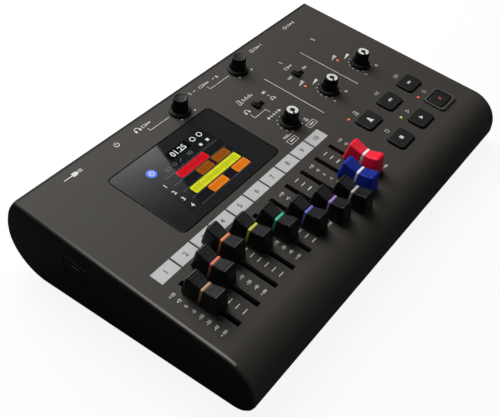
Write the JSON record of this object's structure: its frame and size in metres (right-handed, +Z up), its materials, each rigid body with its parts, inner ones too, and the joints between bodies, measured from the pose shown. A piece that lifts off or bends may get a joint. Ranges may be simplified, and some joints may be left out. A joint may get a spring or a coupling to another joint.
{
  "type": "digital multitrack recorder",
  "caption": "Desktop multitrack recorder with a sloping panel: display window, slide faders, rotary knobs, transport keys and a recessed rear bay of audio sockets.",
  "frame": {"origin": "under the middle of the case, on the table plane that the feet stand on", "axes": "+X to the player's right, +Y to the rear with the sockets, +Z up"},
  "size_m": [0.254, 0.154, 0.0578],
  "materials": {
    "case_grey": "fine matt moulding",
    "base_black": "fine matt moulding",
    "window_tint": "polished, dark tint",
    "display_dark": "display panel",
    "board_green": "solder mask",
    "steel": "plated sheet",
    "nut_metal": "nickel plate",
    "socket_black": "moulded",
    "control_black": "moulded, satin",
    "key_rubber": "silicone, satin",
    "foot_rubber": "matt",
    "lamp_red": "clear lens, lit",
    "cap_black": "moulded, satin",
    "cap_blue": "moulded, satin",
    "cap_red": "moulded, satin",
    "stripe_brown": "moulded insert",
    "stripe_coral": "moulded insert",
    "stripe_orange": "moulded insert",
    "stripe_yellow": "moulded insert",
    "stripe_turquoise": "moulded insert",
    "stripe_violet": "moulded insert",
    "stripe_lilac": "moulded insert",
    "stripe_grey": "moulded insert",
    "stripe_white": "moulded insert"
  },
  "bodies": {
    "housing": {"top_case": "case_grey", "bottom_case": "base_black", "rear_panel": "base_black", "display_window": "window_tint", "lcd_module": "display_dark", "panel_board": "board_green", "main_board": "board_green", "fader_bodies": "steel", "pot_bodies": "steel", "slide_switch_bodies": "steel", "key_switches": "control_black", "lamp_lenses": "lamp_red", "jack_sockets": "socket_black", "jack_nuts": "nut_metal", "input_sockets": "socket_black", "supply_socket": "steel", "card_socket": "steel", "battery_contacts": "steel", "feet": "foot_rubber", "screws": "steel"},
    "fader_1": {"fader_cap_1": "cap_black", "fader_stripe_1": "stripe_brown"},
    "fader_2": {"fader_cap_2": "cap_black", "fader_stripe_2": "stripe_coral"},
    "fader_3": {"fader_cap_3": "cap_black", "fader_stripe_3": "stripe_orange"},
    "fader_4": {"fader_cap_4": "cap_black", "fader_stripe_4": "stripe_yellow"},
    "fader_5": {"fader_cap_5": "cap_black", "fader_stripe_5": "stripe_turquoise"},
    "fader_6": {"fader_cap_6": "cap_black", "fader_stripe_6": "stripe_violet"},
    "fader_7": {"fader_cap_7": "cap_black", "fader_stripe_7": "stripe_lilac"},
    "fader_8": {"fader_cap_8": "cap_black", "fader_stripe_8": "stripe_grey"},
    "fader_9": {"fader_cap_9": "cap_blue", "fader_stripe_9": "stripe_white"},
    "fader_10": {"fader_cap_10": "cap_red", "fader_stripe_10": "stripe_white"},
    "knob_phones": {"knob_phones": "control_black"},
    "knob_output": {"knob_output": "control_black"},
    "knob_balance": {"knob_balance": "control_black"},
    "knob_gain_1": {"knob_gain_1": "control_black"},
    "knob_gain_2": {"knob_gain_2": "control_black"},
    "key_click": {"key_click": "key_rubber"},
    "key_rewind": {"key_rewind": "key_rubber"},
    "key_forward": {"key_forward": "key_rubber"},
    "key_stop": {"key_stop": "key_rubber"},
    "key_play": {"key_play": "key_rubber"},
    "key_record": {"key_record": "key_rubber"},
    "input_switch_tab": {"input_switch_tab": "control_black"},
    "monitor_switch_tab": {"monitor_switch_tab": "control_black"},
    "power_switch_tab": {"power_switch_tab": "control_black"},
    "battery_door": {"battery_door": "base_black"},
    "card_door": {"card_door": "case_grey"}
  },
  "joints": [
    {"name": "fader_1_slide", "type": "slide", "parent": "housing", "child": "fader_1", "axis": [0, 0.9917, 0.1288], "range_m": [-0.018, 0.012]},
    {"name": "fader_2_slide", "type": "slide", "parent": "housing", "child": "fader_2", "axis": [0, 0.9917, 0.1288], "range_m": [-0.024, 0.006]},
    {"name": "fader_3_slide", "type": "slide", "parent": "housing", "child": "fader_3", "axis": [0, 0.9917, 0.1288], "range_m": [-0.02925, 0.00075]},
    {"name": "fader_4_slide", "type": "slide", "parent": "housing", "child": "fader_4", "axis": [0, 0.9917, 0.1288], "range_m": [-0.02355, 0.00645]},
    {"name": "fader_5_slide", "type": "slide", "parent": "housing", "child": "fader_5", "axis": [0, 0.9917, 0.1288], "range_m": [-0.018, 0.012]},
    {"name": "fader_6_slide", "type": "slide", "parent": "housing", "child": "fader_6", "axis": [0, 0.9917, 0.1288], "range_m": [-0.01005, 0.01995]},
    {"name": "fader_7_slide", "type": "slide", "parent": "housing", "child": "fader_7", "axis": [0, 0.9917, 0.1288], "range_m": [-0.0051, 0.0249]},
    {"name": "fader_8_slide", "type": "slide", "parent": "housing", "child": "fader_8", "axis": [0, 0.9917, 0.1288], "range_m": [-0.00045, 0.02955]},
    {"name": "fader_9_slide", "type": "slide", "parent": "housing", "child": "fader_9", "axis": [0, 0.9917, 0.1288], "range_m": [-0.00555, 0.02445]},
    {"name": "fader_10_slide", "type": "slide", "parent": "housing", "child": "fader_10", "axis": [0, 0.9917, 0.1288], "range_m": [-0.0105, 0.0195]},
    {"name": "knob_phones_turn", "type": "hinge", "parent": "housing", "child": "knob_phones", "pos_m": [-0.019, 0.05417, 0.04784], "axis": [0, -0.1288, 0.9917], "range_deg": [-150, 150]},
    {"name": "knob_output_turn", "type": "hinge", "parent": "housing", "child": "knob_output", "pos_m": [0.034, 0.05417, 0.04784], "axis": [0, -0.1288, 0.9917], "range_deg": [-150, 150]},
    {"name": "knob_balance_turn", "type": "hinge", "parent": "housing", "child": "knob_balance", "pos_m": [0.0174, 0.00473, 0.04142], "axis": [0, -0.1288, 0.9917], "range_deg": [-285, 15]},
    {"name": "knob_gain_1_turn", "type": "hinge", "parent": "housing", "child": "knob_gain_1", "pos_m": [0.0586, 0.00473, 0.04142], "axis": [0, -0.1288, 0.9917], "range_deg": [-285, 15]},
    {"name": "knob_gain_2_turn", "type": "hinge", "parent": "housing", "child": "knob_gain_2", "pos_m": [0.0949, 0.00473, 0.04142], "axis": [0, -0.1288, 0.9917], "range_deg": [-285, 15]},
    {"name": "key_click_press", "type": "slide", "parent": "housing", "child": "key_click", "axis": [0, 0.1288, -0.9917], "range_m": [0, 0.0006], "stiffness_N_per_m": 1500},
    {"name": "key_rewind_press", "type": "slide", "parent": "housing", "child": "key_rewind", "axis": [0, 0.1288, -0.9917], "range_m": [0, 0.0006], "stiffness_N_per_m": 1500},
    {"name": "key_forward_press", "type": "slide", "parent": "housing", "child": "key_forward", "axis": [0, 0.1288, -0.9917], "range_m": [0, 0.0006], "stiffness_N_per_m": 1500},
    {"name": "key_stop_press", "type": "slide", "parent": "housing", "child": "key_stop", "axis": [0, 0.1288, -0.9917], "range_m": [0, 0.0006], "stiffness_N_per_m": 1500},
    {"name": "key_play_press", "type": "slide", "parent": "housing", "child": "key_play", "axis": [0, 0.1288, -0.9917], "range_m": [0, 0.0006], "stiffness_N_per_m": 1500},
    {"name": "key_record_press", "type": "slide", "parent": "housing", "child": "key_record", "axis": [0, 0.1288, -0.9917], "range_m": [0, 0.0006], "stiffness_N_per_m": 1500},
    {"name": "input_switch_slide", "type": "slide", "parent": "housing", "child": "input_switch_tab", "axis": [1, 0, 0], "range_m": [0, 0.004]},
    {"name": "monitor_switch_slide", "type": "slide", "parent": "housing", "child": "monitor_switch_tab", "axis": [1, 0, 0], "range_m": [0, 0.004]},
    {"name": "power_switch_slide", "type": "slide", "parent": "housing", "child": "power_switch_tab", "axis": [1, 0, 0], "range_m": [0, 0.004]},
    {"name": "battery_door_hinge", "type": "hinge", "parent": "housing", "child": "battery_door", "pos_m": [0, -0.043, 0.0042], "axis": [-1, 0, 0], "range_deg": [0, 90]},
    {"name": "card_door_hinge", "type": "hinge", "parent": "housing", "child": "card_door", "pos_m": [-0.12645, 0.02882, 0.02286], "axis": [0, -0.9917, -0.1288], "range_deg": [0, 90]}
  ]
}
